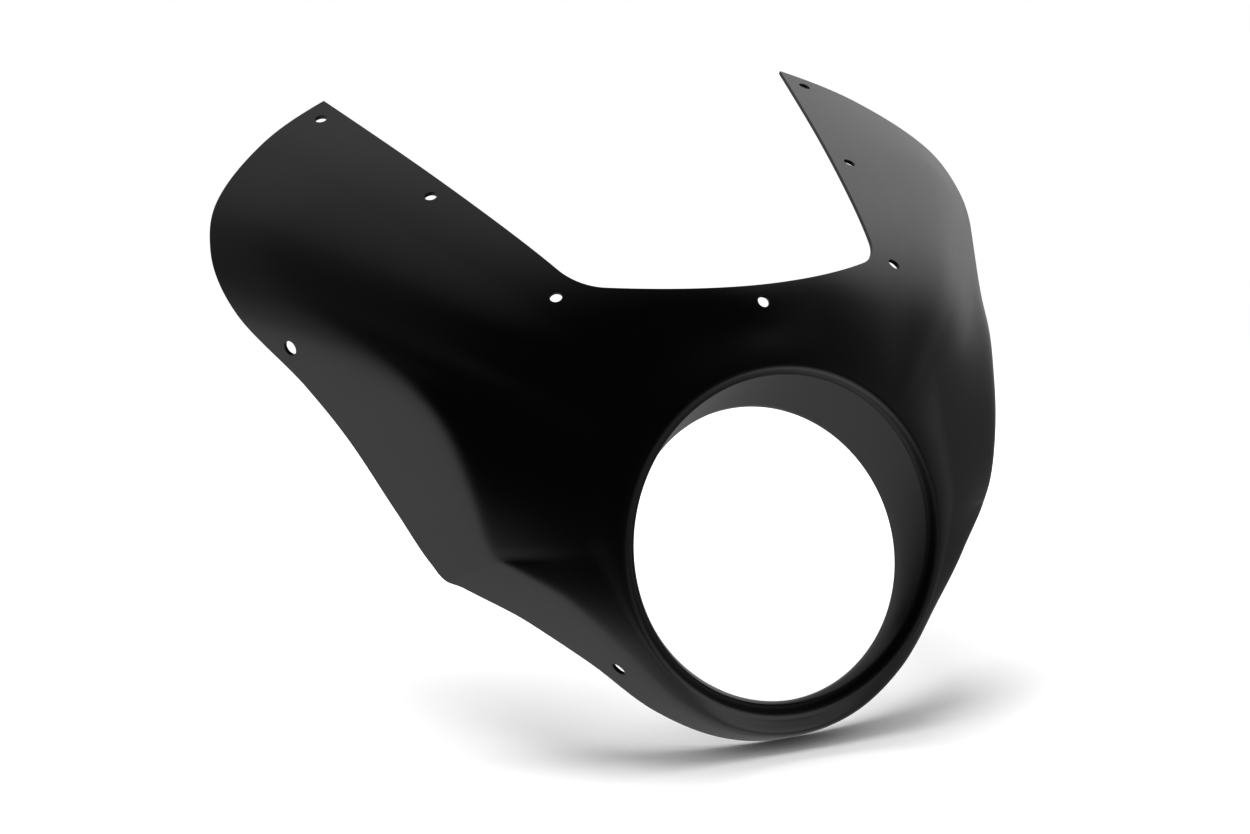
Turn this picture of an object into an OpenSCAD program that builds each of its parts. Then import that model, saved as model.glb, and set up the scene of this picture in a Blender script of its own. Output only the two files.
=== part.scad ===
// Semi-fairing for a motorcycle: one moulded shell that wraps round a headlight,
// with two wings that rise on either side of a windscreen cut-out.
// Frame: the headlight axis is Y, the bike's front is -Y, up is +Z.
// The origin is the centre of the rear edge of the headlight duct.

/* [Shell] */
// Wall thickness of the moulding
wall = 2.5; // [2:0.5:4]
// Lean of the flat plane that trims the rear edge, back from upright
trim_lean = 19.9; // [12:0.1:26]
// Distance of that plane behind the duct's rear edge, on the headlight axis
trim_back = 61; // [50:1:80]

/* [Headlight duct] */
// Diameter of the opening where the headlight shell passes through
opening_d = 190; // [170:1:200]
// Length of the straight land at the rear of the duct
land = 5; // [3:0.5:8]
// Diameter of the crest of the rolled lip
lip_d = 220.4; // [214:0.1:228]
// Radius of the roll of the lip
lip_roll = 7; // [5:0.5:8]
// Tilt of the lip's plane, nose down
lip_tilt = 12.3; // [6:0.1:16]
// Distance of the lip's centre in front of the duct's rear edge
lip_forward = 36.7; // [32:0.1:44]
// Height of the lip's centre above the headlight axis
lip_rise = 3.3; // [0:0.1:6]

/* [Outline] */
// Radius of the wing tops about the headlight axis
wing_r = 404; // [380:1:430]
// Angle of the wing tip above the horizontal, seen from the front
tip_angle = 64; // [60:0.5:68]
// Reach of the lower corner of the side panel from the headlight axis
corner_r = 192; // [186:1:204]
// Radius of the chin about the headlight axis
chin_r = 118.5; // [117:0.5:124]

/* [Windscreen cut-out] */
// Height of the middle of the sill above the headlight axis
sill_z = 163.8; // [156:0.1:176]
// Radius of the sill's upward curve, seen from the front
sill_r = 362; // [250:1:600]
// Width of the cut-out at the height of the sill's middle
cutout_w = 202.3; // [180:1:220]
// Radius of the lower corners
cutout_corner_r = 30; // [12:1:40]

/* [Fastenings] */
// Diameter of the windscreen screw holes
screen_hole_d = 8; // [5:0.5:12]
// Distance of the middle screw hole below the sill
sill_hole_drop = 11.6; // [10:0.1:20]
// Inset of the side screw holes from the cut-out's edge, seen from the front
screen_hole_inset = 14.8; // [12:0.5:24]
// Distance of the top screw hole from the wing tip, along the cut-out's edge
screen_hole_top = 12; // [10:0.5:25]
// Distance from the top screw hole to the middle one along that edge
screen_pitch_upper = 86.8; // [70:1:92]
// Distance from the middle screw hole to the bottom one
screen_pitch_lower = 97; // [80:1:102]
// Diameter of the side mounting holes
side_hole_d = 10; // [6:0.5:12]
// Distance of the side mounting holes in from the trimmed edge, along the profile
side_hole_inset = 24.6; // [15:0.5:32]
// Angle about the headlight axis of the upper side hole's profile, at the trimmed edge
upper_hole_angle = 35.2; // [30:0.1:38]
// The same for the lower side hole, below the horizontal
lower_hole_angle = 29.2; // [20:0.5:40]

/* [Hidden] */
$fn = 96;
colour = [0.09, 0.09, 0.10];

lip_r = lip_d / 2;
opening_r = opening_d / 2;
// The duct is lofted this much under size, and its land is then bored true
bore_skin = 0.2;
// The bore runs on this far past the land, to take the skin off where the duct widens
bore_run_out = 1;
// Reach of a cutter past each face of the wall
over = 6;

// One row for each section of the right-hand half, from the top to the chin.
// Each section is a flat profile that runs from the lip to the trimmed edge.
// [ angle of its start on the lip,
//   shoulder: distance out from the lip, distance back,
//   ridge: distance in from the trimmed edge, distance forward, rise,
//   trimmed edge: angle and radius about the headlight axis,
//   softness of the shoulder and of the ridge ]
SECTIONS = [
    [90,   44,  -10.8, 148, 183,  0, 90,        wing_r,          0.10, 0.10],
    [71,   60,  -7.8, 125,  150,  0, 77,        wing_r,          0.13, 0.10],
    [53.1, 76,  -5.6, 81,   98,   0, tip_angle + 0.8, wing_r,        0.17, 0.10],
    [46,   88,  4,    50,   61,   0, 55.2,      wing_r + 0.5,    0.16, 0.10],
    [41,   98,  12.5, 34,   43,   0, 46.4,      wing_r - 6,      0.14, 0.08],
    [38.5, 100, 19,   34,   43,   0, 42.5,      wing_r - 18.5,   0.14, 0.08],
    [37,   97,  22,   47.5, 58,   0, 39.9,      wing_r - 32,     0.14, 0.08],
    [34,   87,  26,   71,   93,   0, 37,        wing_r - 55.5,   0.14, 0.06],
    [30,   76,  29,   45,   103,  0, 32.2,      wing_r - 113,    0.14, 0.05],
    [24,   57,  24,   32,   99.5, 0, 26,        corner_r + 59.5, 0.14, 0.04],
    [15,   43,  21,   22,   82.5, 0, 16.7,      corner_r + 27.5, 0.14, 0.035],
    [7,    37,  21,   16,   63,   2, 8,         corner_r + 8,    0.14, 0.03],
    [4.5,  33,  20,   13.5, 57,   5, 4.4,       corner_r,        0.14, 0.03],
    [2,    29,  18,   9.5,  60,   5, 2.6,       corner_r - 11,   0.14, 0.03],
    [-6,   17,  11,   4,    66,   1, -7.6,      chin_r + 28,     0.14, 0.05],
    [-25,  6,   5,    0.5,  55.5, 0, -25.6,     chin_r + 4.5,    0.15, 0.07],
    [-48,  5,   3,    0,    40,   0, -48.5,     chin_r,          0.16, 0.09],
    [-70,  5,   2,    0,    31,   0, -70,       chin_r,          0.16, 0.10],
    [-90,  5,   1.5,  0,    28,   0, -90,       chin_r,          0.16, 0.10]];
// Number of loft steps from each section to the next
STEPS = [4, 4, 3, 3, 2, 2, 2, 3, 2, 3, 2, 2, 2, 3, 4, 5, 4, 4];
// Places along a profile, from the lip at 0 to the trimmed edge at 1
PLACES = [0, 0.06, 0.12, 0.2, 0.28, 0.36, 0.44, 0.53, 0.62, 0.68, 0.72, 0.76, 0.82, 0.9, 1];
// Angles round the rolled lip, from the duct's wall to the start of a profile
ROLL_ANGLES = [-68, -46, -25, -5, 15];
shoulder_at = 0.36;
ridge_at = 0.72;

last = len(SECTIONS) - 1;

// A point on the lip's roll, at an angle round the opening and an angle round the roll
function lip_point(around, roll) =
    let (r = lip_r + lip_roll * sin(roll), deep = lip_roll * (1 - cos(roll)))
    [r * cos(around),
     -lip_forward - r * sin(around) * sin(lip_tilt) + deep * cos(lip_tilt),
     lip_rise + r * sin(around) * cos(lip_tilt) + deep * sin(lip_tilt)];

// A point on the trimmed edge, which lies in one leaning plane
function trim_point(angle, radius) =
    [radius * cos(angle), trim_back + radius * sin(angle) * tan(trim_lean), radius * sin(angle)];

// A section past either end is the mirror image of the one inside it
function mirrored(row, centre) =
    [for (k = [0 : len(row) - 1]) (k == 0 || k == 6) ? 2 * centre - row[k] : row[k]];
function section(i) =
    i < 0 ? mirrored(SECTIONS[-i], 90) :
    i > last ? mirrored(SECTIONS[2 * last - i], -90) : SECTIONS[i];

// Spacing of two neighbouring sections, from the root of their distance at the trimmed edge
function gap(i) = sqrt(norm(
    trim_point(section(i + 1)[6], section(i + 1)[7]) - trim_point(section(i)[6], section(i)[7])));
function slope(i) =
    let (before = gap(i - 1), after = gap(i),
         d0 = (section(i) - section(i - 1)) / before,
         d1 = (section(i + 1) - section(i)) / after)
    (d0 * after + d1 * before) / (before + after);
GAPS = [for (i = [0 : last - 1]) gap(i)];
SLOPES = [for (i = [0 : last]) slope(i)];

// The section at any place u between the rows, by a smooth cubic
function blend_section(u) =
    let (i = min(floor(u), last - 1), f = u - i, h = GAPS[i])
    SECTIONS[i] * (1 - 3 * f * f + 2 * f * f * f)
    + SECTIONS[i + 1] * (3 * f * f - 2 * f * f * f)
    + SLOPES[i] * h * (f - 2 * f * f + f * f * f)
    + SLOPES[i + 1] * h * (f * f * f - f * f);

// A ramp that stays near 0 up to the knee and then climbs, with a soft bend
function soft(x, w) = (x + sqrt(x * x + w * w)) / 2;
function ramp(t, knee, w) =
    (soft(t - knee, w) - soft(-knee, w)) / (soft(1 - knee, w) - soft(-knee, w)) * (1 - knee);

// The four corners of a section's profile: lip, shoulder, ridge and trimmed edge
function corners(s) =
    let (lip = lip_point(s[0], ROLL_ANGLES[len(ROLL_ANGLES) - 1]),
         trim = trim_point(s[6], s[7]),
         across = [trim.x - lip.x, 0, trim.z - lip.z],
         along = across / norm(across))
    [lip,
     lip + along * s[1] + [0, s[2], 0],
     trim - along * s[3] + [0, -s[4], s[5]],
     trim];

// A point of the outer face: the profile's three straight runs with soft corners
function outer_point(c, s, t) =
    let (past_shoulder = ramp(t, shoulder_at, s[8]), past_ridge = ramp(t, ridge_at, s[9]))
    c[0]
    + (c[1] - c[0]) * (t - past_shoulder) / shoulder_at
    + (c[2] - c[1]) * (past_shoulder - past_ridge) / (ridge_at - shoulder_at)
    + (c[3] - c[2]) * past_ridge / (1 - ridge_at);
function face_point(u, t) =
    let (s = blend_section(u)) outer_point(corners(s), s, t);

// One column of the loft: duct, rolled lip, then the profile
function column(u) =
    let (s = blend_section(u), c = corners(s), around = s[0], r = opening_r - bore_skin)
    concat(
        [[r * cos(around), 0, r * sin(around)]],
        [[r * cos(around), -land, r * sin(around)]],
        [for (a = ROLL_ANGLES) lip_point(around, a)],
        [for (k = [1 : len(PLACES) - 1]) outer_point(c, s, PLACES[k])]);

HALF = concat(
    [for (i = [0 : last - 1]) for (k = [0 : STEPS[i] - 1]) column(i + k / STEPS[i])],
    [column(last)]);
half_n = len(HALF);
// The whole outer face, right half and then its mirror image, closed on itself
OUTER = concat(
    HALF,
    [for (i = [half_n - 2 : -1 : 1]) [for (p = HALF[i]) [-p.x, p.y, p.z]]]);
cols = len(OUTER);
rows = len(OUTER[0]);

function normal(i, j) =
    let (across = OUTER[(i + 1) % cols][j] - OUTER[(i + cols - 1) % cols][j],
         along = OUTER[i][min(j + 1, rows - 1)] - OUTER[i][max(j - 1, 0)],
         n = cross(across, along))
    n / norm(n);
INNER = [for (i = [0 : cols - 1]) [for (j = [0 : rows - 1]) OUTER[i][j] - wall * normal(i, j)]];

// The uncut moulding: outer face, inner face and the two rims that join them
module moulding() {
    ring = 2 * rows;
    points = [for (i = [0 : cols - 1]) for (j = [0 : ring - 1])
        j < rows ? OUTER[i][j] : INNER[i][ring - 1 - j]];
    // The diagonals of the left half mirror those of the right half
    faces = [for (i = [0 : cols - 1]) for (j = [0 : ring - 1])
        let (a = i * ring + j, b = i * ring + (j + 1) % ring,
             c = ((i + 1) % cols) * ring + (j + 1) % ring, d = ((i + 1) % cols) * ring + j)
        each i < half_n - 1 ? [[a, b, c], [a, c, d]] : [[a, b, d], [b, c, d]]];
    polyhedron(points, faces);
}

// The cut-out's side edge, a straight line up to the wing tip
tip = [wing_r * cos(tip_angle), wing_r * sin(tip_angle)];
sill_end = [cutout_w / 2, sill_z];
edge_dir = (tip - sill_end) / norm(tip - sill_end);
edge_in = [-edge_dir.y, edge_dir.x];
// Centre of the corner's round: inside both the sill's circle and the side edge
sill_centre = [0, sill_z + sill_r];
round_foot = sill_end + edge_in * cutout_corner_r - sill_centre;
round_half = round_foot * edge_dir;
round_rest = round_foot * round_foot - pow(sill_r - cutout_corner_r, 2);
round_centre = sill_centre + round_foot
    + edge_dir * (-round_half - sqrt(round_half * round_half - round_rest));
// Its two ends, as directions from its centre
sill_touch = atan2(round_centre.y - sill_centre.y, round_centre.x - sill_centre.x);
edge_touch = atan2(-edge_in.y, -edge_in.x);

// The windscreen cut-out, seen from the front and cut straight through
module windscreen_cutout() {
    arc_steps = 12;
    sill_start = -90;
    half = concat(
        [for (k = [1 : arc_steps])
            let (a = sill_start + (sill_touch - sill_start) * k / arc_steps)
            sill_centre + sill_r * [cos(a), sin(a)]],
        [for (k = [1 : arc_steps])
            let (a = sill_touch + (edge_touch - sill_touch) * k / arc_steps)
            round_centre + cutout_corner_r * [cos(a), sin(a)]],
        [tip + edge_dir * wing_r]);
    outline = concat(
        [[0, sill_z]],
        half,
        [for (k = [len(half) - 1 : -1 : 0]) [-half[k].x, half[k].y]]);
    deep = 2 * wing_r;
    translate([0, deep / 2, 0]) rotate([90, 0, 0]) linear_extrude(deep) polygon(outline);
}

// Finds the loft place [u, t] whose outer point lies at x and z, by Newton's steps
function drop(x, z, at, steps = 12) =
    steps == 0 ? at :
    let (e = 0.001,
         p = face_point(at.x, at.y),
         pu = (face_point(at.x + e, at.y) - p) / e,
         pt = (face_point(at.x, at.y + e) - p) / e,
         det = pu.x * pt.z - pu.z * pt.x,
         dx = x - p.x,
         dz = z - p.z,
         du = (dx * pt.z - dz * pt.x) / det,
         dt = (dz * pu.x - dx * pu.z) / det)
    drop(x, z,
         [max(0, min(last - e, at.x + max(-1, min(1, du)))),
          max(0, min(1 - e, at.y + max(-0.1, min(0.1, dt))))],
         steps - 1);

// Finds the loft place of a point at an angle on the trimmed edge and an inset from it
function station(angle, low = 0, high = last, steps = 30) =
    let (mid = (low + high) / 2)
    steps == 0 ? mid :
    blend_section(mid)[6] > angle ? station(angle, mid, high, steps - 1)
                                  : station(angle, low, mid, steps - 1);
function inset_place(u, inset, low = 0.5, high = 1, steps = 30) =
    let (mid = (low + high) / 2)
    steps == 0 ? mid :
    norm(face_point(u, 1) - face_point(u, mid)) > inset
        ? inset_place(u, inset, mid, high, steps - 1)
        : inset_place(u, inset, low, mid, steps - 1);

function face_normal(at) =
    let (e = 0.001,
         across = face_point(at.x + e, at.y) - face_point(max(at.x - e, 0), at.y),
         along = face_point(at.x, at.y + e) - face_point(at.x, at.y - e),
         n = cross(across, along))
    n / norm(n);

// A round cutter square to the wall at a loft place, on one side of the bike
module hole_at(at, d, side) {
    p = face_point(at.x, at.y);
    n = face_normal(at);
    place = [side * p.x, p.y, p.z];
    dir = [side * n.x, n.y, n.z];
    tilt = acos(dir.z);
    turn = atan2(dir.y, dir.x);
    translate(place) rotate([0, tilt, turn]) translate([0, 0, -wall - over])
        cylinder(h = wall + 2 * over, d = d);
}

// The three screw holes beside the cut-out, by their distance from the tip
screen_top_at = screen_hole_top;
screen_middle_at = screen_top_at + screen_pitch_upper;
screen_bottom_at = screen_middle_at + screen_pitch_lower;
function screen_hole(from_tip) = tip - edge_dir * from_tip - edge_in * screen_hole_inset;
SCREEN_PLACES = [for (d = [screen_top_at, screen_middle_at, screen_bottom_at])
    let (q = screen_hole(d)) drop(q.x, q.y, [2.3, 1 - d / 330])];
SIDE_PLACES = [for (a = [upper_hole_angle, -lower_hole_angle])
    let (u = station(a)) [u, inset_place(u, side_hole_inset)]];
SILL_PLACE = drop(0, sill_z - sill_hole_drop, [0, 0.3]);

module fairing_shell() {
    color(colour)
    difference() {
        moulding();
        windscreen_cutout();
        translate([0, over, 0]) rotate([90, 0, 0])
            cylinder(h = over + land + bore_run_out, r = opening_r);
        hole_at(SILL_PLACE, screen_hole_d, 1);
        for (side = [-1, 1]) {
            for (at = SCREEN_PLACES) hole_at(at, screen_hole_d, side);
            for (at = SIDE_PLACES) hole_at(at, side_hole_d, side);
        }
    }
}

fairing_shell();
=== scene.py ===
"""A motorcycle semi-fairing in satin black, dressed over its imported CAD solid.

The shell is worked out again on a much finer grid than the solid has. Its outer face runs from the
headlight duct over a rolled lip to the trimmed edge, and is a function of two parameters: the place
from section to section round the headlight, and the place along a section's profile. The windscreen
cut-out and the screw holes are traced on that face, and every edge gets a small round.
Lengths are in millimetres until they reach a mesh, which is in metres.
"""

import bpy
import numpy as np
from bpy.props import FloatProperty, FloatVectorProperty, PointerProperty
from mathutils import Matrix, Vector
from mathutils.geometry import delaunay_2d_cdt


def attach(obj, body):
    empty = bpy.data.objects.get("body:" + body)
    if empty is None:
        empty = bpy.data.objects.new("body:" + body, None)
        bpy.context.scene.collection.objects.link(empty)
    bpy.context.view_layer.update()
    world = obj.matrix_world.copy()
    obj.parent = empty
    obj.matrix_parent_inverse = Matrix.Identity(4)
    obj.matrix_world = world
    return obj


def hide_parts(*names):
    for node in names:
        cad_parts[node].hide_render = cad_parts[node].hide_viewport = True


bl_info = {
    "name": "Semi-fairing",
    "version": (1, 0, 0),
    "blender": (4, 5, 0),
    "location": "View3D > Sidebar > Fairing",
    "description": "Builds a satin black headlight semi-fairing and a studio stage for it",
    "category": "Add Mesh",
}

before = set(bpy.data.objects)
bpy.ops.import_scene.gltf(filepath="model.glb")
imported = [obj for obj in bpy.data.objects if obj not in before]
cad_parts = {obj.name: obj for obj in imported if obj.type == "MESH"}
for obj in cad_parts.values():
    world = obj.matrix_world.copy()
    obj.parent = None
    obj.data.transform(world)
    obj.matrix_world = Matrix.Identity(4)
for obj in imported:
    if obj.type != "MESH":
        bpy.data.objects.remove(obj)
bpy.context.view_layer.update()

MM = 0.001
PI = np.pi

# Sizes in millimetres and angles in degrees, as in the solid
WALL = 2.5
OPENING_R, LAND = 95, 5
LIP_R, LIP_ROLL, LIP_TILT, LIP_FORWARD, LIP_RISE = 110.2, 7, 12.3, 36.7, 3.3
ROLL_START, ROLL_END = -68.0, 15.0
# How far the land's direction and the lip's reach into the duct's wall
BORE_BEND, LIP_BEND = 9.0, 6.0

TRIM_LEAN, TRIM_BACK = 19.9, 61
WING_R, TIP_ANGLE = 404, 64
CORNER_R, CHIN_R = 192, 118.5
SILL_Z, SILL_R = 163.8, 362
CUTOUT_W, CUTOUT_CORNER_R = 202.3, 30

SCREEN_HOLE_R, SIDE_HOLE_R = 4, 5
SILL_HOLE_DROP = 11.6
SCREEN_HOLE_INSET, SCREEN_HOLE_TOP = 14.8, 12
SCREEN_PITCH_UPPER, SCREEN_PITCH_LOWER = 86.8, 97
SIDE_HOLE_INSET = 24.6
SIDE_HOLE_ANGLES = (35.2, -29.2)

# One row for each section of the right-hand half, from the top to the chin:
# angle of its start on the lip; shoulder's distance out from the lip and back; ridge's distance in
# from the trimmed edge, forward and up; trimmed edge's angle and radius about the headlight axis;
# softness of the shoulder and of the ridge.
SECTIONS = np.array([
    [90, 44, -10.8, 148, 183, 0, 90, WING_R, 0.10, 0.10],
    [71, 60, -7.8, 125, 150, 0, 77, WING_R, 0.13, 0.10],
    [53.1, 76, -5.6, 81, 98, 0, TIP_ANGLE + 0.8, WING_R, 0.17, 0.10],
    [46, 88, 4, 50, 61, 0, 55.2, WING_R + 0.5, 0.16, 0.10],
    [41, 98, 12.5, 34, 43, 0, 46.4, WING_R - 6, 0.14, 0.08],
    [38.5, 100, 19, 34, 43, 0, 42.5, WING_R - 18.5, 0.14, 0.08],
    [37, 97, 22, 47.5, 58, 0, 39.9, WING_R - 32, 0.14, 0.08],
    [34, 87, 26, 71, 93, 0, 37, WING_R - 55.5, 0.14, 0.06],
    [30, 76, 29, 45, 103, 0, 32.2, WING_R - 113, 0.14, 0.05],
    [24, 57, 24, 32, 99.5, 0, 26, CORNER_R + 59.5, 0.14, 0.04],
    [15, 43, 21, 22, 82.5, 0, 16.7, CORNER_R + 27.5, 0.14, 0.035],
    [7, 37, 21, 16, 63, 2, 8, CORNER_R + 8, 0.14, 0.03],
    [4.5, 33, 20, 13.5, 57, 5, 4.4, CORNER_R, 0.14, 0.03],
    [2, 29, 18, 9.5, 60, 5, 2.6, CORNER_R - 11, 0.14, 0.03],
    [-6, 17, 11, 4, 66, 1, -7.6, CHIN_R + 28, 0.14, 0.05],
    [-25, 6, 5, 0.5, 55.5, 0, -25.6, CHIN_R + 4.5, 0.15, 0.07],
    [-48, 5, 3, 0, 40, 0, -48.5, CHIN_R, 0.16, 0.09],
    [-70, 5, 2, 0, 31, 0, -70, CHIN_R, 0.16, 0.10],
    [-90, 5, 1.5, 0, 28, 0, -90, CHIN_R, 0.16, 0.10],
])
LAST = len(SECTIONS) - 1
SHOULDER_AT, RIDGE_AT, LIP_FADE = 0.36, 0.72, 0.2

# The photograph's camera in metres, its focal length and its width in pixels
CAMERA_PLACE = (-0.847, -1.704, -0.115)
PHOTO_RIGHT, PHOTO_DOWN, PHOTO_AHEAD = (
    (0.9068, -0.3881, -0.1645), (-0.1052, 0.1695, -0.9799), (0.4081, 0.9059, 0.1129))
FOCAL_PIXELS, PHOTO_WIDTH = 2975, 1250
SENSOR_WIDTH = 36.0
VIEW_GAMMA = 0.7

# The room as the shell's gloss sees it: a white tent that is open and dark above the camera and
# dimmer behind the shell and on the photograph's right. A rim light behind on the right lights the
# far wing, and a strip low in front lights the lip. Angles say where a patch is full and where it ends.
TENT_GLOW = 2.0
DARK_ANGLES, DARK_RISE = (30, 100), 0.5
BACK_ANGLES, BACK_DIM = (20, 90), 0.7
RIGHT_ANGLES, RIGHT_DIM = (25, 80), 0.6
RIM_ANGLES, RIM_GLOW = (10, 40), 0.8
STRIP_ANGLES, STRIP_GLOW = (5, 25), 2.5

# The floor's radius in metres and where it fades out
FLOOR_RADIUS = 1.6
FLOOR_FADE = (0.5, 1.3)
FLOOR_WHITE = (0.9, 0.9, 0.9, 1)


# The outer face as a function of two parameters


def lip_point(around, roll):
    """The rolled lip: a circle about the headlight that leans nose down, carried round by a small
    arc. Its radius is lip_r + roll_r * sin(roll) and its depth is roll_r * (1 - cos(roll))."""
    a, f, tilt = np.radians(around), np.radians(roll), np.radians(LIP_TILT)
    r, deep = LIP_R + LIP_ROLL * np.sin(f), LIP_ROLL * (1 - np.cos(f))
    return np.stack([
        r * np.cos(a),
        -LIP_FORWARD - r * np.sin(a) * np.sin(tilt) + deep * np.cos(tilt),
        LIP_RISE + r * np.sin(a) * np.cos(tilt) + deep * np.sin(tilt),
    ], -1)


def trim_point(angle, radius):
    """The trimmed edge: polar about the headlight axis, on one plane that leans back."""
    a = np.radians(angle)
    x, z = radius * np.cos(a), radius * np.sin(a)
    return np.stack([x, TRIM_BACK + z * np.tan(np.radians(TRIM_LEAN)), z], -1)


def mirrored_row(row, centre):
    """A section past either end: both of its angles are mirrored about the centre line."""
    out = row.copy()
    out[[0, 6]] = 2 * centre - row[[0, 6]]
    return out


ALL_ROWS = np.vstack([mirrored_row(SECTIONS[1], 90), SECTIONS, mirrored_row(SECTIONS[-2], -90)])
GAPS = np.sqrt(np.linalg.norm(np.diff(trim_point(ALL_ROWS[:, 6], ALL_ROWS[:, 7]), axis=0), axis=1))
RISES = np.diff(ALL_ROWS, axis=0) / GAPS[:, None]
SLOPES = (RISES[:-1] * GAPS[1:, None] + RISES[1:] * GAPS[:-1, None]) / (GAPS[:-1] + GAPS[1:])[:, None]


def blend_section(u):
    """The section at any place u between the rows: the cubic through two rows with their slopes."""
    i = np.clip(np.floor(u).astype(int), 0, LAST - 1)
    f, h = (u - i)[..., None], GAPS[1:][i][..., None]
    return (SECTIONS[i] * (1 - 3 * f**2 + 2 * f**3) + SECTIONS[i + 1] * (3 * f**2 - 2 * f**3)
            + SLOPES[i] * h * (f - 2 * f**2 + f**3) + SLOPES[i + 1] * h * (f**3 - f**2))


def ramp(t, knee, width):
    """Near 0 up to the knee and then a climb to 1 - knee: (x + root(x^2 + width^2)) / 2, rescaled."""
    def soft(x):
        return (x + np.sqrt(x * x + width * width)) / 2
    return (soft(t - knee) - soft(-knee)) / (soft(1 - knee) - soft(-knee)) * (1 - knee)


def face(u, t):
    """The outer face at section place u and profile place t, from 0 at the lip to 1 at the trim:
    lip + (shoulder - lip) * a + (ridge - shoulder) * b + (trim - ridge) * c, where a, b and c are
    the shares of the three straight runs that t has passed, with soft corners between them."""
    u, t = np.broadcast_arrays(np.asarray(u, float), np.asarray(t, float))
    s = blend_section(u)
    lip, trim = lip_point(s[..., 0], ROLL_END), trim_point(s[..., 6], s[..., 7])
    along = (trim - lip) * [1, 0, 1]
    along = along / np.linalg.norm(along, axis=-1, keepdims=True)
    none = np.zeros_like(u)
    shoulder = lip + along * s[..., 1:2] + np.stack([none, s[..., 2], none], -1)
    ridge = trim - along * s[..., 3:4] + np.stack([none, -s[..., 4], s[..., 5]], -1)
    past_shoulder = ramp(t, SHOULDER_AT, s[..., 8])[..., None]
    past_ridge = ramp(t, RIDGE_AT, s[..., 9])[..., None]
    # The roll's direction at the lip fades into the profile's own within the first stretch
    start = (shoulder - lip) / SHOULDER_AT
    rolling = lip_point(s[..., 0], ROLL_END) - lip_point(s[..., 0], ROLL_END - 1)
    rolling /= np.linalg.norm(rolling, axis=-1, keepdims=True)
    turn = rolling * np.linalg.norm(start, axis=-1, keepdims=True) - start
    fade = t * np.clip(1 - t / LIP_FADE, 0, 1) ** 2
    return (lip + (shoulder - lip) * (t[..., None] - past_shoulder) / SHOULDER_AT
            + (ridge - shoulder) * (past_shoulder - past_ridge) / (RIDGE_AT - SHOULDER_AT)
            + (trim - ridge) * past_ridge / (1 - RIDGE_AT) + turn * fade[..., None])


def face_slopes(u, t):
    """How the face moves with u and with t, by small central differences."""
    e = 1e-4
    return (face(u + e, t) - face(u - e, t)) / (2 * e), (face(u, t + e) - face(u, t - e)) / (2 * e)


def face_normal(u, t):
    """The outward normal: the cross product of the two slopes, made one long."""
    across, along = face_slopes(u, t)
    n = np.cross(across, along)
    return n / np.linalg.norm(n, axis=-1, keepdims=True)


def land_on_face(targets, first, second, origin, start):
    """Finds the places (u, t) whose points lie at the given distances along two directions from an
    origin. Newton's steps on all of them at once, with each step held short."""
    u, t = np.full(len(targets), float(start[0])), np.full(len(targets), float(start[1]))
    for _ in range(40):
        p = face(u, t) - origin
        pu, pt = face_slopes(u, t)
        ea, eb = targets[:, 0] - p @ first, targets[:, 1] - p @ second
        a, b, c, d = pu @ first, pt @ first, pu @ second, pt @ second
        det = a * d - b * c
        u = np.clip(u + np.clip((ea * d - eb * b) / det, -0.5, 0.5), -0.5, LAST)
        t = np.clip(t + np.clip((eb * a - ea * c) / det, -0.06, 0.06), -0.02, 1.05)
    return np.stack([u, t], -1)


FRONT = (np.array([1.0, 0, 0]), np.array([0, 0, 1.0]), np.zeros(3))


# Lines on the face: the cut-out, the holes and the trimmed edge


def even_steps(points, spacing):
    """The same line with its points at even distances of about the spacing."""
    lengths = np.concatenate([[0], np.cumsum(np.linalg.norm(np.diff(points, axis=0), axis=1))])
    count = max(2, int(round(lengths[-1] / spacing)) + 1)
    want = np.linspace(0, lengths[-1], count)
    return np.stack([np.interp(want, lengths, points[:, k]) for k in range(points.shape[1])], -1)


def wing_tip():
    """The wing's tip seen from the front."""
    return WING_R * np.array([np.cos(np.radians(TIP_ANGLE)), np.sin(np.radians(TIP_ANGLE))])


def cutout_line(grow):
    """The cut-out's right-hand edge seen from the front, from the wing tip down the straight side,
    round the corner and along the sill's arc to the middle. It is grown by the edges' round."""
    tip = wing_tip()
    sill_end = np.array([CUTOUT_W / 2, SILL_Z])
    way = (tip - sill_end) / np.linalg.norm(tip - sill_end)
    inward = np.array([-way[1], way[0]])
    centre = np.array([0, SILL_Z + SILL_R])
    # The corner's centre is as far inside the sill's circle as it is inside the side edge
    foot = sill_end + inward * CUTOUT_CORNER_R - centre
    half = foot @ way
    rest = foot @ foot - (SILL_R - CUTOUT_CORNER_R) ** 2
    corner = centre + foot + way * (-half - np.sqrt(half * half - rest))
    low = np.arctan2(*(corner - centre)[::-1])
    side = np.arctan2(-inward[1], -inward[0])
    turn = np.linspace(side, low, 40)
    sweep = np.linspace(low, -PI / 2, 60)[1:]
    arc = corner + (CUTOUT_CORNER_R + grow) * np.stack([np.cos(turn), np.sin(turn)], -1)
    sill = centre + (SILL_R + grow) * np.stack([np.cos(sweep), np.sin(sweep)], -1)
    past_tip = tip - inward * grow + way * 6
    return np.vstack([past_tip, arc, sill])


def hole_ring(place, radius, count):
    """A circle about the wall's normal at a place on the face, laid onto the face."""
    p, n = face(*place), face_normal(*place)
    first = np.cross(n, [0, 0, 1.0])
    first /= np.linalg.norm(first)
    second = np.cross(n, first)
    a = np.linspace(0, 2 * PI, count, endpoint=False)
    ring = radius * np.stack([np.cos(a), np.sin(a)], -1)
    return land_on_face(ring, first, second, p, place)


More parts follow.
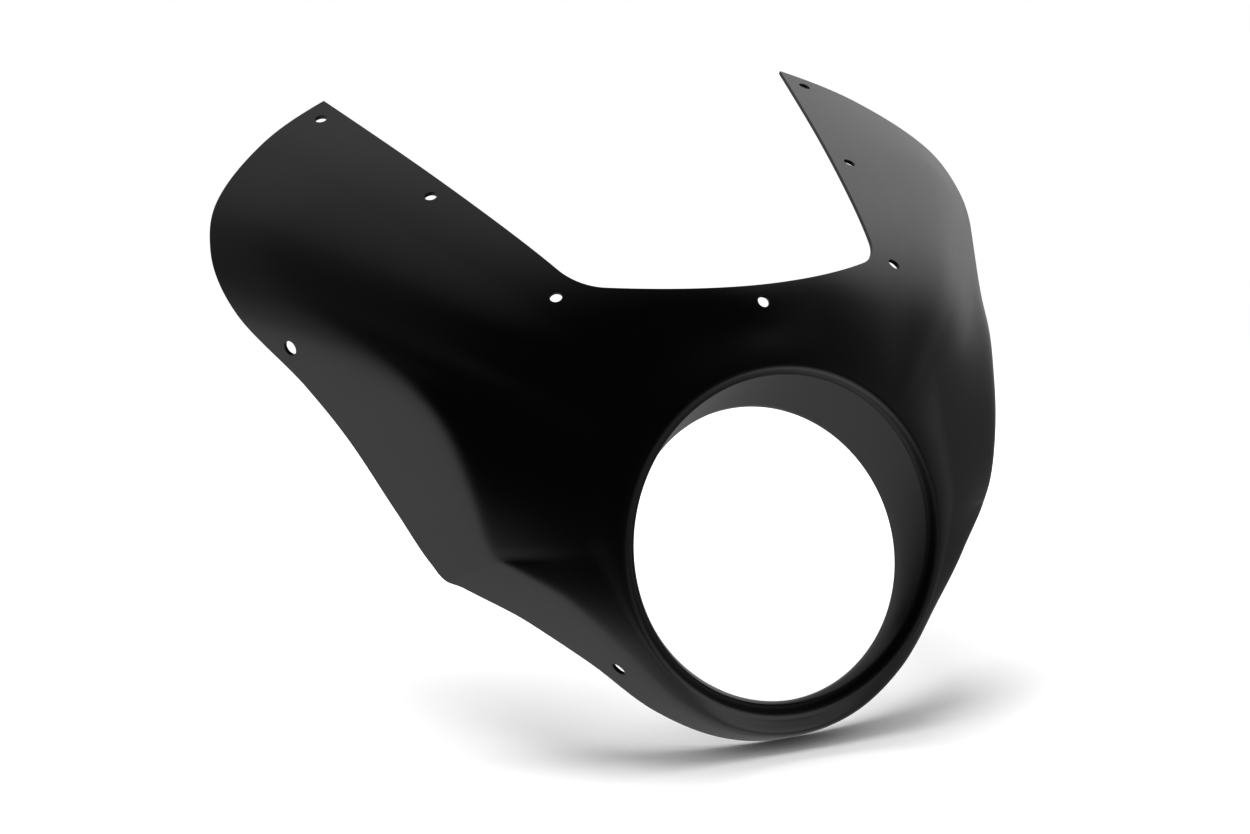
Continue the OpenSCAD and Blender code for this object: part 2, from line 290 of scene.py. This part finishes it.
def screen_hole_places():
    """The three screw holes beside the cut-out, set in from its side edge."""
    tip = wing_tip()
    way = tip - [CUTOUT_W / 2, SILL_Z]
    way /= np.linalg.norm(way)
    inward = np.array([-way[1], way[0]])
    from_tip = np.cumsum([SCREEN_HOLE_TOP, SCREEN_PITCH_UPPER, SCREEN_PITCH_LOWER])
    # A first guess for each hole: beside the third section, lower the further it is from the tip
    return [land_on_face((tip - way * d - inward * SCREEN_HOLE_INSET)[None], *FRONT, (2.3, 1 - d / 330))[0]
            for d in from_tip]


def side_hole_places():
    """The two side holes, each set in along its profile from the trimmed edge."""
    u = np.linspace(2, LAST, 4000)
    angles = blend_section(u)[:, 6]
    places = []
    for angle in SIDE_HOLE_ANGLES:
        at = np.interp(-angle, -angles, u)
        t = np.linspace(0.5, 1, 2000)
        inset = np.linalg.norm(face(at, 1.0) - face(at, t), axis=1)
        places.append(np.array([at, np.interp(-SIDE_HOLE_INSET, -inset, t)]))
    return places


def chart(places):
    """Unrolls the face onto a plane for joining up its points: polar, with the angle turning from
    the lip's to the trimmed edge's and the radius growing by the distance along the profile."""
    u, t = places[:, 0], places[:, 1]
    s = blend_section(u)
    angle = np.radians(s[:, 0] + (s[:, 6] - s[:, 0]) * t)
    reach = LIP_R + np.linalg.norm(face(u, t) - face(u, 0.0), axis=1)
    return reach[:, None] * np.stack([np.cos(angle), np.sin(angle)], -1)


def is_inside(points, outline):
    """Counts, for each point, how many edges of a closed outline a ray to its right crosses."""
    x, y = points[:, 0][:, None], points[:, 1][:, None]
    x0, y0 = outline[:, 0], outline[:, 1]
    x1, y1 = np.roll(x0, -1), np.roll(y0, -1)
    crosses = (y0 > y) != (y1 > y)
    rise = np.where(y1 == y0, 1, y1 - y0)
    return (crosses & (x < x0 + (y - y0) / rise * (x1 - x0))).sum(1) % 2 == 1


def nearest(points, others):
    """The distance from each point to the nearest of the others, worked out in slices."""
    out = np.empty(len(points))
    for k in range(0, len(points), 2000):
        part = points[k:k + 2000, None] - others[None]
        out[k:k + 2000] = np.sqrt((part**2).sum(2).min(1))
    return out


# The whole shell


def half_face(edge_round, spacing):
    """The right half of the face as triangles on points (u, t), with the lines that bound it.
    Returns the places, the triangles, and the point numbers of the lip's row, the centre lines,
    the outline from the chin to the sill, and the holes."""
    columns = np.unique(np.concatenate([
        np.linspace(i, i + 1, max(3, int(round((GAPS[1 + i] ** 2) / spacing)) + 1)) for i in range(LAST)]))
    lip_row = np.stack([columns, np.zeros_like(columns)], -1)

    def trim_place(u):
        """Just inside the trimmed edge, by the edges' round."""
        return 1 - edge_round / np.linalg.norm(face_slopes(u, np.ones_like(u))[1], axis=-1)

    # The cut-out's line, up to where it meets the trimmed edge
    fine = even_steps(cutout_line(edge_round * 0.8), 0.5)
    cut = land_on_face(fine, *FRONT, (1.6, 0.5))
    inner = cut[:, 1] < trim_place(cut[:, 0])
    first = int(np.argmax(inner))
    over = cut[first - 1:first + 1, 1] - trim_place(cut[first - 1:first + 1, 0])
    tip = cut[first - 1] + (cut[first] - cut[first - 1]) * over[0] / (over[0] - over[1])
    cut = np.vstack([tip, cut[first:]])
    # The line was traced at half a millimetre and keeps a point at each half spacing
    wanted_count = int(len(cut) / spacing)
    keep = np.searchsorted(np.linspace(0, 1, len(cut)), np.linspace(0, 1, wanted_count))
    cut = cut[np.unique(np.clip(keep, 0, len(cut) - 1))]
    cut[-1, 0] = 0
    # The trimmed edge, from the chin to the tip
    along = np.linspace(LAST, tip[0], 4000)
    rim = np.stack([along, trim_place(along)], -1)
    steps = np.concatenate([[0], np.cumsum(np.linalg.norm(np.diff(face(*rim.T), axis=0), axis=1))])
    want = np.linspace(0, steps[-1], int(steps[-1] / (spacing * 0.6)))
    rim = np.stack([np.interp(want, steps, rim[:, k]) for k in (0, 1)], -1)

    # The holes; the sill's lies on the centre line, so only its right half is traced here
    sill_hole = land_on_face(np.array([[0, SILL_Z - SILL_HOLE_DROP]]), *FRONT, (0.0, 0.3))[0]
    sill_hole[0] = 0
    holes = [hole_ring(p, SCREEN_HOLE_R + edge_round, 40) for p in screen_hole_places()]
    holes += [hole_ring(p, SIDE_HOLE_R + edge_round, 44) for p in side_hole_places()]
    p, n = face(*sill_hole), face_normal(*sill_hole)
    a = np.linspace(PI / 2, -PI / 2, 21)
    arc = (SCREEN_HOLE_R + edge_round) * np.stack([np.cos(a), np.sin(a)], -1)
    half_ring = land_on_face(arc, np.array([1.0, 0, 0]), np.cross([1.0, 0, 0], n) * -1, p, sill_hole)
    if half_ring[0, 1] < half_ring[-1, 1]:
        half_ring = half_ring[::-1]
    half_ring[[0, -1], 0] = 0

    def centre_line(u, t0, t1):
        count = max(3, int(np.linalg.norm(face(u, t1) - face(u, t0)) / (spacing * 0.8)))
        return np.stack([np.full(count, float(u)), np.linspace(t0, t1, count)], -1)[1:-1]

    chin = centre_line(LAST, 0, rim[0, 1])
    above = centre_line(0, cut[-1, 1], half_ring[0, 1])
    below = centre_line(0, half_ring[-1, 1], 0)
    parts = [lip_row, chin, rim, cut[1:], above, half_ring, below]
    outline = np.vstack(parts)
    starts = np.cumsum([0] + [len(q) for q in parts])

    loops = [outline] + holes
    bounds = np.vstack(loops)
    rows = np.linspace(0, 1, 66)[1:-1]
    uu, tt = np.meshgrid(columns[1:-1], rows, indexing="ij")
    grid = np.stack([uu.ravel(), tt.ravel()], -1)
    flat_bounds, flat_grid = chart(bounds), chart(grid)
    ends = np.cumsum([0] + [len(q) for q in loops])
    good = is_inside(flat_grid, flat_bounds[:ends[1]])
    for k in range(1, len(loops)):
        good &= ~is_inside(flat_grid, flat_bounds[ends[k]:ends[k + 1]])
    grid, flat_grid = grid[good], flat_grid[good]
    # A grid point that crowds a bounding line is left out
    roomy = nearest(flat_grid, flat_bounds) > 0.45 * spacing
    grid, flat_grid = grid[roomy], flat_grid[roomy]

    places, flat = np.vstack([bounds, grid]), np.vstack([flat_bounds, flat_grid])
    edges = [(ends[k] + i, ends[k] + (i + 1) % (ends[k + 1] - ends[k]))
             for k in range(len(loops)) for i in range(ends[k + 1] - ends[k])]
    got = delaunay_2d_cdt([Vector(q) for q in flat], edges, [], 0, 1e-5)
    if len(got[0]) != len(flat):
        raise RuntimeError("the face's bounding lines cross or repeat a point")
    # Blender may renumber the points, so its list of what each one came from turns them back
    origin = np.array([q[0] for q in got[3]])
    tris = origin[np.array([f for f in got[2]])]
    middle = flat[tris].mean(1)
    on_lines = (tris < ends[-1]).all(1)
    wanted = np.ones(len(tris), bool)
    wanted[on_lines] = is_inside(middle[on_lines], flat[:ends[1]])
    for k in range(1, len(loops)):
        same = ((tris >= ends[k]) & (tris < ends[k + 1])).all(1)
        wanted &= ~same
    # Three points of one centre line make no triangle
    for end in (0, LAST):
        wanted &= ~(places[tris, 0] == end).all(1)
    tris = tris[wanted]
    numbers = {
        "lip": np.arange(starts[0], starts[1]),
        "outline": np.arange(starts[2], starts[4]),
        "sill_hole": np.arange(starts[5], starts[6]),
        "holes": [np.arange(ends[k], ends[k + 1]) for k in range(1, len(loops))],
        "centre": np.flatnonzero((places[:, 0] == 0) | (places[:, 0] == LAST)),
    }
    return places, tris, numbers


def duct_profile(around, edge_round):
    """The duct and the lip's roll, from the duct's rear edge forward: a straight land, a wall that
    bends smoothly from the land's direction to the roll's, and the roll's arc. Rows by columns."""
    a = np.radians(around)
    ring = np.stack([OPENING_R * np.cos(a), -edge_round + 0 * a, OPENING_R * np.sin(a)], -1)
    land = ring - [0, LAND - edge_round, 0]
    start = lip_point(around, ROLL_START)
    rolling = lip_point(around, ROLL_START) - lip_point(around, ROLL_START - 0.5)
    rolling /= np.linalg.norm(rolling, axis=-1, keepdims=True)
    reach = np.linalg.norm(start - land, axis=-1, keepdims=True)
    rows = [ring, (ring + land) / 2, land]
    first = np.array([0, -1.0, 0]) * np.minimum(reach, BORE_BEND)
    second = rolling * np.minimum(reach, LIP_BEND)
    for f in np.linspace(0, 1, 15)[1:-1]:
        straight = land + (start - land) * f
        bend = ((f - 2 * f**2 + f**3) * (first - (start - land))
                + (f**3 - f**2) * (second - (start - land)))
        rows.append(straight + bend)
    rows += [lip_point(around, r) for r in np.linspace(ROLL_START, ROLL_END, 23)[:-1]]
    return np.stack(rows)


def grid_normals(rows):
    """Normals of closed rows of points, from the differences of each point's neighbours."""
    down = np.gradient(rows, axis=0)
    along = np.roll(rows, -1, 1) - np.roll(rows, 1, 1)
    n = np.cross(along, down)
    return n / np.linalg.norm(n, axis=-1, keepdims=True)


def rim_rows(points, normals, away, edge_round):
    """The rim of a wall: from the outer face round an arc, straight through the wall, and round a
    second arc to the inner face. An arc's point is away * r * sin(a) - normal * r * (1 - cos(a))."""
    rows, facing = [], []
    for a in np.linspace(0, PI / 2, 5)[1:]:
        rows.append(points + away * edge_round * np.sin(a) - normals * edge_round * (1 - np.cos(a)))
        facing.append(normals * np.cos(a) + away * np.sin(a))
    for a in np.linspace(PI / 2, 0, 5)[:-1]:
        rows.append(points + away * edge_round * np.sin(a)
                    - normals * (WALL - edge_round * (1 - np.cos(a))))
        facing.append(away * np.sin(a) - normals * np.cos(a))
    return np.stack(rows), np.stack(facing)


def shell_mesh(edge_round, spacing):
    """The closed shell: duct, lip and face, the inner face one wall behind them, and the rims.
    Returns points in metres, triangles and normals."""
    places, tris, numbers = half_face(edge_round, spacing)
    points, normals = face(*places.T), face_normal(*places.T)
    centre = numbers["centre"]
    points[centre, 0], normals[centre, 0] = 0, 0
    normals /= np.linalg.norm(normals, axis=1, keepdims=True)
    count = len(points)

    # The left half mirrors the right one and shares the points of the centre lines
    twin = np.full(count, -1)
    twin[centre] = centre
    rest = np.flatnonzero(twin < 0)
    twin[rest] = count + np.arange(len(rest))
    points = np.vstack([points, points[rest] * [-1, 1, 1]])
    normals = np.vstack([normals, normals[rest] * [-1, 1, 1]])
    corners = points[tris]
    turned = (np.cross(corners[:, 1] - corners[:, 0], corners[:, 2] - corners[:, 0])
              * normals[tris[:, 0]]).sum(1) < 0
    tris = np.where(turned[:, None], tris[:, ::-1], tris)
    tris = np.vstack([tris, twin[tris][:, ::-1]])

    def closed(numbers_of_half):
        """A line of the right half from centre line to centre line, and its mirror image."""
        return np.concatenate([numbers_of_half, twin[numbers_of_half[1:-1]][::-1]])

    lip = closed(numbers["lip"])
    angle = blend_section(places[numbers["lip"], 0])[:, 0]
    around = np.concatenate([angle, 180 - angle[1:-1][::-1]])
    duct = duct_profile(around, edge_round)
    whole = np.concatenate([duct, points[lip][None]])
    facing = grid_normals(whole)
    if facing[-2][:, 1].sum() > 0:
        facing = -facing
    base = len(points)
    points = np.vstack([points, duct.reshape(-1, 3)])
    normals = np.vstack([normals, facing[:-1].reshape(-1, 3)])
    ids = np.concatenate([base + np.arange(duct.shape[0] * len(lip)).reshape(duct.shape[0], -1), lip[None]])
    tris = np.vstack([tris, strip(ids, points, normals)])

    # The inner face: the same triangles, turned over, one wall behind
    outer_count = len(points)
    inner_of = np.arange(outer_count) + outer_count
    points = np.vstack([points, points - WALL * normals])
    normals = np.vstack([normals, -normals])
    tris = np.vstack([tris, inner_of[tris][:, ::-1]])

    # Rims: the outline, each hole and the duct's rear edge
    outline = closed(numbers["outline"])
    loops = [outline, closed(numbers["sill_hole"])]
    for ring in numbers["holes"]:
        loops += [ring, twin[ring]]
    loops.append(ids[0])
    for loop in loops:
        p, n = points[loop], normals[loop]
        tangent = np.roll(p, -1, 0) - np.roll(p, 1, 0)
        away = np.cross(tangent, n)
        away /= np.linalg.norm(away, axis=1, keepdims=True)
        if loop is outline:
            sign = np.sign((away * (p - [0, 60, 60])).sum())
        elif loop is loops[-1]:
            away, sign = np.tile([0, 1.0, 0], (len(p), 1)), 1
        else:
            sign = -np.sign((away * (p - p.mean(0))).sum())
        rows, turned_to = rim_rows(p, n, away * sign, edge_round)
        start = len(points)
        points = np.vstack([points, rows.reshape(-1, 3)])
        normals = np.vstack([normals, turned_to.reshape(-1, 3)])
        made = start + np.arange(rows.shape[0] * len(loop)).reshape(rows.shape[0], -1)
        chain = np.concatenate([loop[None], made, inner_of[loop][None]])
        tris = np.vstack([tris, strip(chain, points, normals)])
    return points * MM, tris, normals


def strip(ids, points, normals):
    """Triangles between neighbouring rows of points, closed along the rows, turned outwards."""
    a, b = ids[:-1], ids[1:]
    c, d = np.roll(b, -1, 1), np.roll(a, -1, 1)
    made = np.concatenate([np.stack([a, b, c], -1).reshape(-1, 3), np.stack([a, c, d], -1).reshape(-1, 3)])
    corner = points[made]
    across = np.cross(corner[:, 1] - corner[:, 0], corner[:, 2] - corner[:, 0])
    if (across * normals[made].sum(1)).sum() < 0:
        made = made[:, ::-1]
    return made


# Materials, stage and camera


class Value:
    """A node's output, so that shader maths can be written as an expression."""

    def __init__(self, tree, socket):
        self.tree, self.socket = tree, socket

    def maths(self, operation, first, second):
        return self.tree.add("ShaderNodeMath", {"operation": operation}, {0: first, 1: second})

    def __add__(self, other):
        return self.maths("ADD", self, other)

    def __sub__(self, other):
        return self.maths("SUBTRACT", self, other)

    def __rsub__(self, other):
        return self.maths("SUBTRACT", other, self)

    def __mul__(self, other):
        return self.maths("MULTIPLY", self, other)

    __radd__, __rmul__ = __add__, __mul__


class Nodes:
    """The node tree of a material or a world, emptied first."""

    def __init__(self, owner):
        owner.use_nodes = True
        self.tree = owner.node_tree
        self.tree.nodes.clear()

    def add(self, kind, settings=None, sockets=None, output=0):
        """Adds a node with its settings, then sets or links its input sockets."""
        node = self.tree.nodes.new(kind)
        for name, value in (settings or {}).items():
            setattr(node, name, value)
        for name, value in (sockets or {}).items():
            if isinstance(value, Value):
                self.tree.links.new(value.socket, node.inputs[name])
            else:
                node.inputs[name].default_value = value
        return Value(self, node.outputs[output]) if len(node.outputs) else node


def plastic_material(look):
    """Satin black plastic: a fine grain in the gloss and in the surface, on Object coordinates."""
    material = bpy.data.materials.new("satin_black_plastic")
    nodes = Nodes(material)
    place = nodes.add("ShaderNodeTexCoord", output=3)
    grain = nodes.add("ShaderNodeTexNoise", sockets={"Vector": place, "Scale": 900.0, "Detail": 2.0})
    cloud = nodes.add("ShaderNodeTexNoise", sockets={"Vector": place, "Scale": 14.0, "Detail": 3.0})
    roughness = look.roughness + (cloud - 0.5) * 0.04 + (grain - 0.5) * 0.06
    bump = nodes.add("ShaderNodeBump", sockets={"Height": grain, "Strength": 0.06, "Distance": 0.0003})
    shader = nodes.add("ShaderNodeBsdfPrincipled", sockets={
        "Base Color": (*look.colour, 1), "Roughness": roughness, "IOR": 1.5, "Normal": bump})
    nodes.add("ShaderNodeOutputMaterial", sockets={"Surface": shader})
    return material


def new_object(name, points, faces, normals=None):
    """A mesh object at the origin, unturned, with its place in its mesh."""
    mesh = bpy.data.meshes.new(name)
    mesh.from_pydata(points, [], faces)
    mesh.shade_smooth()
    if normals is not None:
        mesh.normals_split_custom_set_from_vertices(normals)
    thing = bpy.data.objects.new(name, mesh)
    bpy.context.collection.objects.link(thing)
    return thing


class FairingLook(bpy.types.PropertyGroup):
    edge_round: FloatProperty(
        name="Edge round", description="Radius of the round on every cut edge",
        default=0.5 * MM, min=0.1 * MM, max=1.2 * MM, unit="LENGTH")
    spacing: FloatProperty(
        name="Point spacing", description="Spacing of the face's points near the trimmed edge",
        default=4.0 * MM, min=2 * MM, max=10 * MM, unit="LENGTH")
    colour: FloatVectorProperty(
        name="Plastic colour", description="Base colour of the satin plastic",
        default=(0.0020, 0.0021, 0.0022), size=3, subtype="COLOR", min=0, max=1)
    roughness: FloatProperty(
        name="Roughness", description="Middle value of the plastic's roughness",
        default=0.30, min=0.1, max=0.9, subtype="FACTOR")


class StageLook(bpy.types.PropertyGroup):
    nose_up: FloatProperty(
        name="Nose up", description="How far the floor leans, for a shell that rests nose up",
        default=np.radians(23.0), min=0, max=PI / 4, subtype="ANGLE")
    light: FloatProperty(
        name="Room light", description="Brightness of the white room round the shell",
        default=0.9, min=0, max=5)
    overhead: FloatProperty(
        name="Overhead light", description="Strength of the soft light above, which casts the shadow",
        default=2.2, min=0, max=10)
    softness: FloatProperty(
        name="Shadow softness", description="Width of the light above, as an angle",
        default=np.radians(46.0), min=0, max=PI / 2, subtype="ANGLE")
    lean: FloatProperty(
        name="Light lean", description="How far the light above leans to the left of the photograph",
        default=np.radians(12.0), min=-PI / 4, max=PI / 4, subtype="ANGLE")
    lean_back: FloatProperty(
        name="Light lean back", description="How far the light above leans away from the camera",
        default=np.radians(12.0), min=-PI / 4, max=PI / 4, subtype="ANGLE")


class FAIRING_OT_shell(bpy.types.Operator):
    """Builds the moulded shell with its duct, lip, cut-out and screw holes"""

    bl_idname = "fairing.shell"
    bl_label = "Fairing shell"

    def execute(self, context):
        look = context.scene.fairing_look
        shell = new_object("moulded_shell", *shell_mesh(look.edge_round / MM, look.spacing / MM))
        shell.data.materials.append(plastic_material(look))
        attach(shell, "root")
        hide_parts("fairing_shell")
        return {"FINISHED"}


class FAIRING_OT_stage(bpy.types.Operator):
    """Builds the pale floor, the white room, the soft lights and the camera"""

    bl_idname = "fairing.stage"
    bl_label = "Studio stage"

    def execute(self, context):
        look = context.scene.stage_look
        up = np.array([0, -np.sin(look.nose_up), np.cos(look.nose_up)])
        shell = bpy.data.objects["moulded_shell"].data
        co = np.empty(len(shell.vertices) * 3)
        shell.vertices.foreach_get("co", co)
        low = (co.reshape(-1, 3) @ up).min()
        floor = floor_disc(up, low)
        room_world(look)
        overhead_light(look, up)
        camera_at_photo(context.scene)
        return {"FINISHED"}


def floor_disc(up, low):
    """A round pale floor square to its up direction, faded out towards its edge."""
    side = np.array([1.0, 0, 0])
    ahead = np.cross(up, side)
    a = np.linspace(0, 2 * PI, 64, endpoint=False)
    ring = up * low + FLOOR_RADIUS * (np.cos(a)[:, None] * side + np.sin(a)[:, None] * ahead)
    floor = new_object("studio_floor", ring, [np.arange(len(a))])
    material = bpy.data.materials.new("pale_floor")
    nodes = Nodes(material)
    place = nodes.add("ShaderNodeTexCoord", output=3)
    far = nodes.add("ShaderNodeVectorMath", {"operation": "DISTANCE"},
                    {0: place, 1: tuple(up * low)}, output="Value")
    fade = nodes.add("ShaderNodeMapRange", {"interpolation_type": "SMOOTHSTEP"},
                     {"Value": far, "From Min": FLOOR_FADE[0], "From Max": FLOOR_FADE[1]})
    behind = nodes.add("ShaderNodeNewGeometry", output="Backfacing")
    gone = fade.maths("MAXIMUM", fade, behind)
    white = nodes.add("ShaderNodeBsdfDiffuse", sockets={"Color": FLOOR_WHITE})
    clear = nodes.add("ShaderNodeBsdfTransparent")
    mixed = nodes.add("ShaderNodeMixShader", sockets={0: gone, 1: white, 2: clear})
    nodes.add("ShaderNodeOutputMaterial", sockets={"Surface": mixed})
    floor.data.materials.append(material)
    floor.visible_glossy = False
    return floor


def room_world(look):
    """A white room that the camera sees as plain white. In the shell's gloss it is the tent."""
    world = bpy.data.worlds.new("white_room")
    bpy.context.scene.world = world
    nodes = Nodes(world)
    way = nodes.add("ShaderNodeTexCoord")

    def patch(direction, full, end):
        """1 near a direction and 0 past its end, by the cosine of the angle from it."""
        toward = Vector(direction).normalized()
        dot = nodes.add("ShaderNodeVectorMath", {"operation": "DOT_PRODUCT"},
                        {0: way, 1: tuple(toward)}, output="Value")
        return nodes.add("ShaderNodeMapRange", {"interpolation_type": "SMOOTHSTEP"}, {
            "Value": dot, "From Min": np.cos(np.radians(end)), "From Max": np.cos(np.radians(full))})

    ahead, right, above = Vector(PHOTO_AHEAD), Vector(PHOTO_RIGHT), Vector((0, 0, 1))
    glow = (1 - patch(above * DARK_RISE - ahead, *DARK_ANGLES)) * TENT_GLOW
    glow = glow * (1 - patch(ahead, *BACK_ANGLES) * BACK_DIM)
    glow = glow * (1 - patch(right, *RIGHT_ANGLES) * RIGHT_DIM)
    glow = patch(right + ahead + above, *RIM_ANGLES) * RIM_GLOW + glow
    glow = patch(right - ahead - above, *STRIP_ANGLES) * STRIP_GLOW + glow
    white = {"Color": (1, 1, 1, 1)}
    seen = nodes.add("ShaderNodeBackground", sockets={**white, "Strength": 1.0})
    lit = nodes.add("ShaderNodeBackground", sockets={**white, "Strength": look.light})
    gloss = nodes.add("ShaderNodeBackground", sockets={**white, "Strength": glow})
    glossy_ray = nodes.add("ShaderNodeLightPath", output="Is Glossy Ray")
    camera_ray = nodes.add("ShaderNodeLightPath", output="Is Camera Ray")
    indoors = nodes.add("ShaderNodeMixShader", sockets={0: glossy_ray, 1: lit, 2: gloss})
    both = nodes.add("ShaderNodeMixShader", sockets={0: camera_ray, 1: indoors, 2: seen})
    nodes.add("ShaderNodeOutputWorld", sockets={"Surface": both})


def overhead_light(look, up):
    """A wide soft light high above the floor. It lights the floor and never shows in the gloss."""
    light = bpy.data.lights.new("overhead_light", "SUN")
    light.energy, light.angle = look.overhead, look.softness
    lamp = bpy.data.objects.new("overhead_light", light)
    lean = up - np.tan(look.lean) * np.array(PHOTO_RIGHT) + np.tan(look.lean_back) * np.array(PHOTO_AHEAD)
    lamp.matrix_world = Vector(lean).to_track_quat("Z", "Y").to_matrix().to_4x4()
    lamp.visible_glossy = False
    bpy.context.collection.objects.link(lamp)


def camera_at_photo(scene):
    """The camera at the photograph's viewing angle."""
    camera = bpy.data.objects.new("camera", bpy.data.cameras.new("camera"))
    turn = Matrix((PHOTO_RIGHT, -Vector(PHOTO_DOWN), -Vector(PHOTO_AHEAD))).transposed()
    camera.matrix_world = Matrix.Translation(CAMERA_PLACE) @ turn.to_4x4()
    camera.data.sensor_width = SENSOR_WIDTH
    camera.data.lens = SENSOR_WIDTH * FOCAL_PIXELS / PHOTO_WIDTH
    camera.data.clip_start, camera.data.clip_end = 0.1, 50
    bpy.context.collection.objects.link(camera)
    scene.camera = camera
    scene.view_settings.view_transform = "Standard"
    scene.view_settings.gamma = VIEW_GAMMA


class FAIRING_PT_panel(bpy.types.Panel):
    """Lists the pieces of the fairing and the stage"""

    bl_idname = "FAIRING_PT_panel"
    bl_label = "Semi-fairing"
    bl_space_type, bl_region_type, bl_category = "VIEW_3D", "UI", "Fairing"

    def draw(self, context):
        for look, operator in ((context.scene.fairing_look, FAIRING_OT_shell),
                               (context.scene.stage_look, FAIRING_OT_stage)):
            for name in look.__annotations__:
                self.layout.prop(look, name)
            self.layout.operator(operator.bl_idname)


CLASSES = (FairingLook, StageLook, FAIRING_OT_shell, FAIRING_OT_stage, FAIRING_PT_panel)


def register():
    for cls in CLASSES:
        bpy.utils.register_class(cls)
    bpy.types.Scene.fairing_look = PointerProperty(type=FairingLook)
    bpy.types.Scene.stage_look = PointerProperty(type=StageLook)


def unregister():
    del bpy.types.Scene.fairing_look, bpy.types.Scene.stage_look
    for cls in reversed(CLASSES):
        bpy.utils.unregister_class(cls)


def main():
    register()
    bpy.ops.fairing.shell()
    bpy.ops.fairing.stage()


if __name__ == "__main__":
    main()
